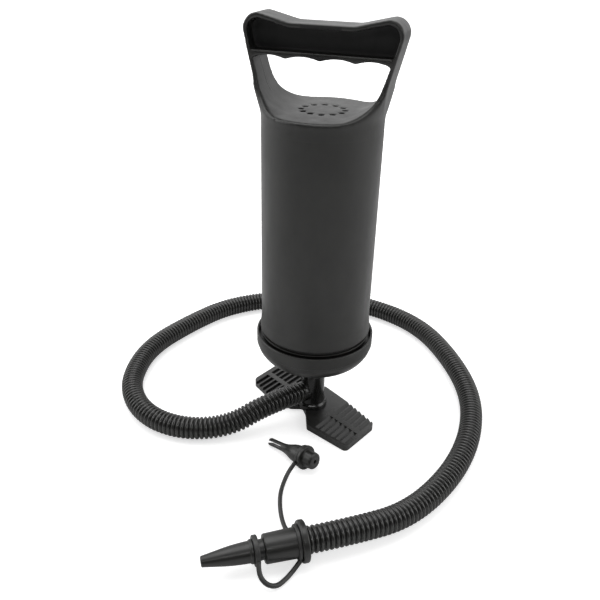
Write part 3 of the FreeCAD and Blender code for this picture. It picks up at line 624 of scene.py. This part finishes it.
# Hub with hose port and gusset, run together with moulded fillets
hub = {
    "profile": [
        (8.05, 3.5, 0), (11.9, 3.5, 0), (11.8, 7.6, 1.3), (9.9, 9.2, 1.0), (9.5, 14.0, 1.5), (9.35, 36.0, 0.8),
        (8.05, 36.0, 0)],
    "port": [
        (3.0, 0, 0), (7.6, 0, 0), (7.6, 11.6, 0.6), (6.5, 11.6, 0), (6.5, 27, 0.6), (4.6, 27, 0), (4.6, 8.2, 0),
        (3.0, 8.2, 0)],
    "portMm": 19.0, "angle": 230.5, "gussetMm": (2.6, 6.0, 13.0), "gussetPlaceMm": (9.8, 0.0, 10.0),
    "voxelMm": 0.45, "smoothing": 8}
hubBm = turned(hub["profile"], 64)
portBm = layAlong(turned(hub["port"], 48), (0, 0, hub["portMm"]), heading(hub["angle"]))
portMesh = bpy.data.meshes.new("port")
portBm.to_mesh(portMesh)
portBm.free()
hubBm.from_mesh(portMesh)
bmesh.ops.create_cube(hubBm, size=1.0, matrix=Matrix.Rotation(math.radians(hub["angle"]), 4, "Z")
                      @ Matrix.Translation([side * mm for side in hub["gussetPlaceMm"]])
                      @ Matrix.Diagonal((*[side * mm for side in hub["gussetMm"]], 1)))
hubPiece = addPiece("hubAndPort", meshFrom(hubBm, "hubAndPort"), footPlastic, "base",
                    ["foot_plate"])
remesh = hubPiece.modifiers.new("remesh", "REMESH")
remesh.mode = "VOXEL"
remesh.voxel_size = hub["voxelMm"] * mm
remesh.use_smooth_shade = True
ease = hubPiece.modifiers.new("ease", "SMOOTH")
ease.factor = 0.5
ease.iterations = hub["smoothing"]
settle(hubPiece)
print("hub", len(hubPiece.data.polygons), "faces")

# Pieces of the frame that stay as they are and get their finishes
finishes = {
    "top_intake_cage": (innerAcetal, "inner_plastic"), "top_intake_disc": (sealRubber, "seal_rubber"),
    "piston_lower_disc": (innerAcetal, "inner_plastic"), "piston_upper_disc": (innerAcetal, "inner_plastic"),
    "piston_spacer": (innerAcetal, "inner_plastic"), "piston_seal_ring": (sealRubber, "seal_rubber"),
    "lower_check_disc": (sealRubber, "seal_rubber"), "upper_check_disc": (sealRubber, "seal_rubber"),
    "piston_screw": (screwSteel, "screw_steel"), "cap_seal_ring": (sealRubber, "seal_rubber"),
    "cap_intake_disc": (sealRubber, "seal_rubber"), "cap_intake_keeper": (innerAcetal, "inner_plastic"),
    "guide_bush": (innerAcetal, "inner_plastic"), "stem_lip_seal": (sealRubber, "seal_rubber"),
    "nozzle_seal_ring": (sealRubber, "seal_rubber")}
for name, (material, slotName) in finishes.items():
    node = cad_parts[name]
    node.data.materials.clear()
    node.data.materials.append(material)
print("frame pieces finished")

# Floor, world and lamps: a white sweep behind and beside, the dark of the studio behind the camera
stage = {"floorM": 14.0, "floorDropMm": 0.2, "floorTone": 0.78, "cameraSide": (0.2756, -0.9613, 0.0),
         "glowM": (0.22, 0.75), "glowNear": 0.58, "sweep": (-0.1, 0.7), "sweepDark": 0.06, "softShare": 0.75}
bm = bmesh.new()
bmesh.ops.create_grid(bm, x_segments=1, y_segments=1, size=stage["floorM"])
bmesh.ops.translate(bm, vec=(0, 0, -stage["floorDropMm"] * mm), verts=bm.verts[:])
floorMesh = bpy.data.meshes.new("floor")
bm.to_mesh(floorMesh)
bm.free()
floor = bpy.data.objects.new("floor", floorMesh)
bpy.context.scene.collection.objects.link(floor)
floorPaper = bpy.data.materials.new("whitePaperSweep")
floorPaper.use_nodes = True
tree = floorPaper.node_tree
tree.nodes.clear()
paper = addNode(tree, "ShaderNodeBsdfDiffuse", {"Color": (*[stage["floorTone"]] * 3, 1)})
coords = addNode(tree, "ShaderNodeTexCoord")
away = addNode(tree, "ShaderNodeVectorMath", {0: coords.outputs["Object"]}, operation="LENGTH")
reach = addNode(tree, "ShaderNodeMapRange", {  # the paper shows white further out, and keeps the shadow close by
    "Value": away.outputs["Value"], "From Min": stage["glowM"][0], "From Max": stage["glowM"][1],
    "To Min": stage["glowNear"], "To Max": 1.0}, interpolation_type="SMOOTHSTEP")
rays = addNode(tree, "ShaderNodeLightPath")
glow = addNode(tree, "ShaderNodeEmission", {"Color": (1, 1, 1, 1), "Strength": reach.outputs["Result"]})
both = addNode(tree, "ShaderNodeAddShader", {0: paper.outputs[0], 1: glow.outputs[0]})
pick = addNode(tree, "ShaderNodeMixShader", {
    0: rays.outputs["Is Camera Ray"], 1: paper.outputs[0], 2: both.outputs[0]})
addNode(tree, "ShaderNodeOutputMaterial", {"Surface": pick.outputs[0]})
floorMesh.materials.append(floorPaper)

world = bpy.data.worlds.new("studio")
bpy.context.scene.world = world
world.use_nodes = True
tree = world.node_tree
tree.nodes.clear()
coords = addNode(tree, "ShaderNodeTexCoord")
front = addNode(tree, "ShaderNodeVectorMath", {0: coords.outputs["Generated"], 1: stage["cameraSide"]},
                operation="DOT_PRODUCT")
sweep = addNode(tree, "ShaderNodeMapRange", {
    "Value": front.outputs["Value"], "From Min": stage["sweep"][0], "From Max": stage["sweep"][1],
    "To Min": 1.0, "To Max": stage["sweepDark"]}, interpolation_type="SMOOTHSTEP")
rays = addNode(tree, "ShaderNodeLightPath")
seen = addNode(tree, "ShaderNodeMath", {0: rays.outputs["Is Camera Ray"], 1: rays.outputs["Is Transmission Ray"]},
               operation="MAXIMUM")
mirrored = addNode(tree, "ShaderNodeMath", {0: rays.outputs["Is Glossy Ray"], 1: sweep.outputs["Result"]},
                   operation="MULTIPLY")
white = addNode(tree, "ShaderNodeMath", {0: seen.outputs[0], 1: mirrored.outputs[0]}, operation="MAXIMUM")
soft = addNode(tree, "ShaderNodeMath", {0: sweep.outputs["Result"], 1: stage["softShare"]}, operation="MULTIPLY")
lit = addNode(tree, "ShaderNodeMix", {
    "Factor": rays.outputs["Is Glossy Ray"], "A": soft.outputs[0], "B": mirrored.outputs[0]})
strength = addNode(tree, "ShaderNodeMix", {"Factor": seen.outputs[0], "A": lit.outputs[0], "B": white.outputs[0]})
sky = addNode(tree, "ShaderNodeBackground", {"Color": (1, 1, 1, 1), "Strength": strength.outputs[0]})
addNode(tree, "ShaderNodeOutputWorld", {"Surface": sky.outputs[0]})

lamps = [
    {"name": "overhead", "place": (-0.25, 0.35, 1.5), "aim": (0, 0, 0.1), "sizeM": 1.4, "watts": 13.0},
    {"name": "leftPanel", "place": (-1.3, -0.3, 0.7), "aim": (0, 0, 0.15), "sizeM": 0.9, "watts": 5.0},
    {"name": "rightPanel", "place": (1.3, 0.1, 0.7), "aim": (0, 0, 0.15), "sizeM": 0.9, "watts": 5.0},
    {"name": "frontStrip", "place": (0.35, -1.15, 1.15), "aim": (0, -0.1, 0.02), "sizeM": 1.3, "highM": 0.15,
     "watts": 3.6}]
for lamp in lamps:
    data = bpy.data.lights.new(lamp["name"], "AREA")
    data.shape = "RECTANGLE"
    data.size = lamp["sizeM"]
    data.size_y = lamp.get("highM", lamp["sizeM"])
    data.energy = lamp["watts"]
    lampObject = bpy.data.objects.new(lamp["name"], data)
    bpy.context.scene.collection.objects.link(lampObject)
    aim = Vector(lamp["aim"]) - Vector(lamp["place"])
    lampObject.matrix_world = Matrix.Translation(lamp["place"]) @ aim.to_track_quat("-Z", "Y").to_matrix().to_4x4()
bpy.context.scene.view_settings.view_transform = "Standard"
print("studio lit")
